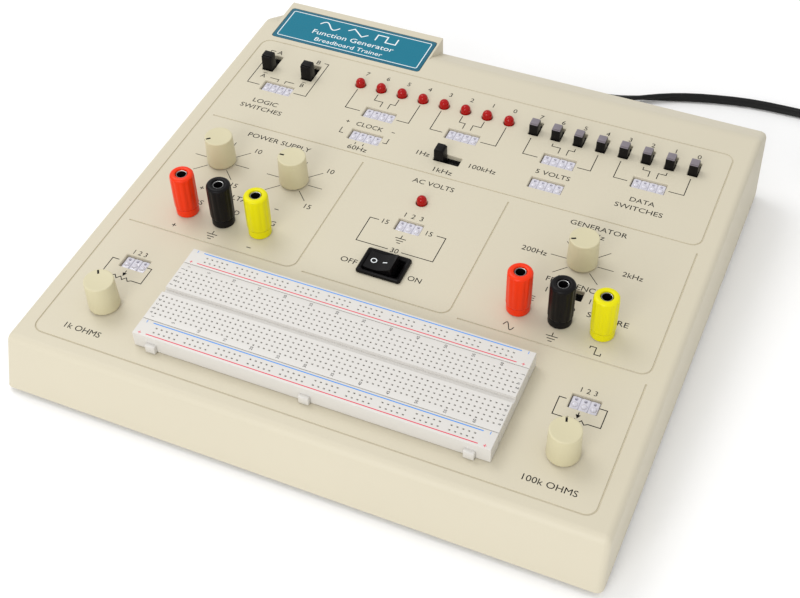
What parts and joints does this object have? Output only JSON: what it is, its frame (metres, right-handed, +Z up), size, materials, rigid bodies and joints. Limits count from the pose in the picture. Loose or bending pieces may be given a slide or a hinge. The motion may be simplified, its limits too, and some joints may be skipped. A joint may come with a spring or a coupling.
{
  "type": "electronics breadboard trainer",
  "caption": "Sloping desk case with a breadboard, function generator and supply knobs, binding posts, slide switches, indicator lights, a power rocker and a mains cord.",
  "frame": {"origin": "middle of the footprint, on the desk, at the soles of the feet", "axes": "+Z up, +X to the operator's right, -Y towards the operator"},
  "size_m": [0.3906, 0.3609, 0.0614],
  "materials": {
    "case_plastic": "lightly textured beige plastic",
    "knob_plastic": "smooth olive-beige plastic",
    "label_film": "printed teal film with a pale border line",
    "black_plastic": "smooth black plastic",
    "red_plastic": "glossy orange-red plastic",
    "yellow_plastic": "glossy yellow plastic",
    "red_lens": "clear red tinted lens",
    "board_plastic": "off-white plastic with printed lines",
    "circuit_resin": "green solder-masked board",
    "core_steel": "laminated steel core",
    "screw_steel": "plated steel",
    "foot_rubber": "soft black rubber",
    "cord_sheath": "black flexible sheath"
  },
  "bodies": {
    "case": {"top_case": "case_plastic", "base_plate": "case_plastic", "nameplate": "label_film", "main_board": "circuit_resin", "transformer": "core_steel", "rocker_housing": "black_plastic", "terminal_strip": "board_plastic", "bus_strip_front": "board_plastic", "bus_strip_rear": "board_plastic", "case_screw_1": "screw_steel", "case_screw_2": "screw_steel", "case_screw_3": "screw_steel", "case_screw_4": "screw_steel", "foot_1": "foot_rubber", "foot_2": "foot_rubber", "foot_3": "foot_rubber", "foot_4": "foot_rubber", "led_7": "red_lens", "led_6": "red_lens", "led_5": "red_lens", "led_4": "red_lens", "led_3": "red_lens", "led_2": "red_lens", "led_1": "red_lens", "led_0": "red_lens", "power_led": "red_lens", "post_base_supply_red": "red_plastic", "post_base_supply_black": "black_plastic", "post_base_supply_yellow": "yellow_plastic", "post_base_generator_red": "red_plastic", "post_base_generator_black": "black_plastic", "post_base_generator_yellow": "yellow_plastic", "strain_relief": "black_plastic", "cord_run": "cord_sheath", "cord_coil": "cord_sheath", "plug": "black_plastic"},
    "positive_supply_knob": {"knob_positive_supply": "knob_plastic"},
    "negative_supply_knob": {"knob_negative_supply": "knob_plastic"},
    "generator_knob": {"knob_generator": "knob_plastic"},
    "pot_1k_knob": {"knob_1k": "knob_plastic"},
    "pot_100k_knob": {"knob_100k": "knob_plastic"},
    "data_switch_7": {"data_slider_7": "black_plastic"},
    "data_switch_6": {"data_slider_6": "black_plastic"},
    "data_switch_5": {"data_slider_5": "black_plastic"},
    "data_switch_4": {"data_slider_4": "black_plastic"},
    "data_switch_3": {"data_slider_3": "black_plastic"},
    "data_switch_2": {"data_slider_2": "black_plastic"},
    "data_switch_1": {"data_slider_1": "black_plastic"},
    "data_switch_0": {"data_slider_0": "black_plastic"},
    "logic_switch_a": {"logic_slider_a": "black_plastic"},
    "logic_switch_b": {"logic_slider_b": "black_plastic"},
    "clock_switch": {"clock_slider": "black_plastic"},
    "range_switch": {"range_slider": "black_plastic"},
    "supply_red_post_cap": {"post_cap_supply_red": "red_plastic"},
    "supply_black_post_cap": {"post_cap_supply_black": "black_plastic"},
    "supply_yellow_post_cap": {"post_cap_supply_yellow": "yellow_plastic"},
    "generator_red_post_cap": {"post_cap_generator_red": "red_plastic"},
    "generator_black_post_cap": {"post_cap_generator_black": "black_plastic"},
    "generator_yellow_post_cap": {"post_cap_generator_yellow": "yellow_plastic"},
    "power_rocker": {"rocker_button": "black_plastic"}
  },
  "joints": [
    {"name": "turn_positive_supply_knob", "type": "hinge", "parent": "case", "child": "positive_supply_knob", "pos_m": [-0.1043, 0.00387, 0.04514], "axis": [0, -0.0807, 0.9967], "range_deg": [-283, 17]},
    {"name": "turn_negative_supply_knob", "type": "hinge", "parent": "case", "child": "negative_supply_knob", "pos_m": [-0.0645, 0.00387, 0.04514], "axis": [0, -0.0807, 0.9967], "range_deg": [-245, 55]},
    {"name": "turn_generator_knob", "type": "hinge", "parent": "case", "child": "generator_knob", "pos_m": [0.0821, 0.00387, 0.04514], "axis": [0, -0.0807, 0.9967], "range_deg": [-267, 33]},
    {"name": "turn_1k_knob", "type": "hinge", "parent": "case", "child": "pot_1k_knob", "pos_m": [-0.1072, -0.10078, 0.03667], "axis": [0, -0.0807, 0.9967], "range_deg": [-183, 117]},
    {"name": "turn_100k_knob", "type": "hinge", "parent": "case", "child": "pot_100k_knob", "pos_m": [0.1082, -0.10078, 0.03667], "axis": [0, -0.0807, 0.9967], "range_deg": [-165, 135]},
    {"name": "slide_data_switch_7", "type": "slide", "parent": "case", "child": "data_switch_7", "axis": [0, 0.9967, 0.0807], "range_m": [0, 0.0049]},
    {"name": "slide_data_switch_6", "type": "slide", "parent": "case", "child": "data_switch_6", "axis": [0, 0.9967, 0.0807], "range_m": [0, 0.0049]},
    {"name": "slide_data_switch_5", "type": "slide", "parent": "case", "child": "data_switch_5", "axis": [0, 0.9967, 0.0807], "range_m": [0, 0.0049]},
    {"name": "slide_data_switch_4", "type": "slide", "parent": "case", "child": "data_switch_4", "axis": [0, 0.9967, 0.0807], "range_m": [0, 0.0049]},
    {"name": "slide_data_switch_3", "type": "slide", "parent": "case", "child": "data_switch_3", "axis": [0, 0.9967, 0.0807], "range_m": [0, 0.0049]},
    {"name": "slide_data_switch_2", "type": "slide", "parent": "case", "child": "data_switch_2", "axis": [0, 0.9967, 0.0807], "range_m": [0, 0.0049]},
    {"name": "slide_data_switch_1", "type": "slide", "parent": "case", "child": "data_switch_1", "axis": [0, 0.9967, 0.0807], "range_m": [0, 0.0049]},
    {"name": "slide_data_switch_0", "type": "slide", "parent": "case", "child": "data_switch_0", "axis": [0, 0.9967, 0.0807], "range_m": [0, 0.0049]},
    {"name": "slide_logic_switch_a", "type": "slide", "parent": "case", "child": "logic_switch_a", "axis": [0, 0.9967, 0.0807], "range_m": [0, 0.0076]},
    {"name": "slide_logic_switch_b", "type": "slide", "parent": "case", "child": "logic_switch_b", "axis": [0, 0.9967, 0.0807], "range_m": [0, 0.0076]},
    {"name": "slide_clock_switch", "type": "slide", "parent": "case", "child": "clock_switch", "axis": [1, 0, 0], "range_m": [0, 0.0076]},
    {"name": "slide_range_switch", "type": "slide", "parent": "case", "child": "range_switch", "axis": [1, 0, 0], "range_m": [0, 0.0076]},
    {"name": "lift_supply_red_post_cap", "type": "slide", "parent": "case", "child": "supply_red_post_cap", "axis": [0, -0.0807, 0.9967], "range_m": [0, 0.004]},
    {"name": "lift_supply_black_post_cap", "type": "slide", "parent": "case", "child": "supply_black_post_cap", "axis": [0, -0.0807, 0.9967], "range_m": [0, 0.004]},
    {"name": "lift_supply_yellow_post_cap", "type": "slide", "parent": "case", "child": "supply_yellow_post_cap", "axis": [0, -0.0807, 0.9967], "range_m": [0, 0.004]},
    {"name": "lift_generator_red_post_cap", "type": "slide", "parent": "case", "child": "generator_red_post_cap", "axis": [0, -0.0807, 0.9967], "range_m": [0, 0.004]},
    {"name": "lift_generator_black_post_cap", "type": "slide", "parent": "case", "child": "generator_black_post_cap", "axis": [0, -0.0807, 0.9967], "range_m": [0, 0.004]},
    {"name": "lift_generator_yellow_post_cap", "type": "slide", "parent": "case", "child": "generator_yellow_post_cap", "axis": [0, -0.0807, 0.9967], "range_m": [0, 0.004]},
    {"name": "tilt_power_rocker", "type": "hinge", "parent": "case", "child": "power_rocker", "pos_m": [-0.0008, -0.03168, 0.03324], "axis": [0, 0.9967, 0.0807], "range_deg": [0, 20]}
  ]
}
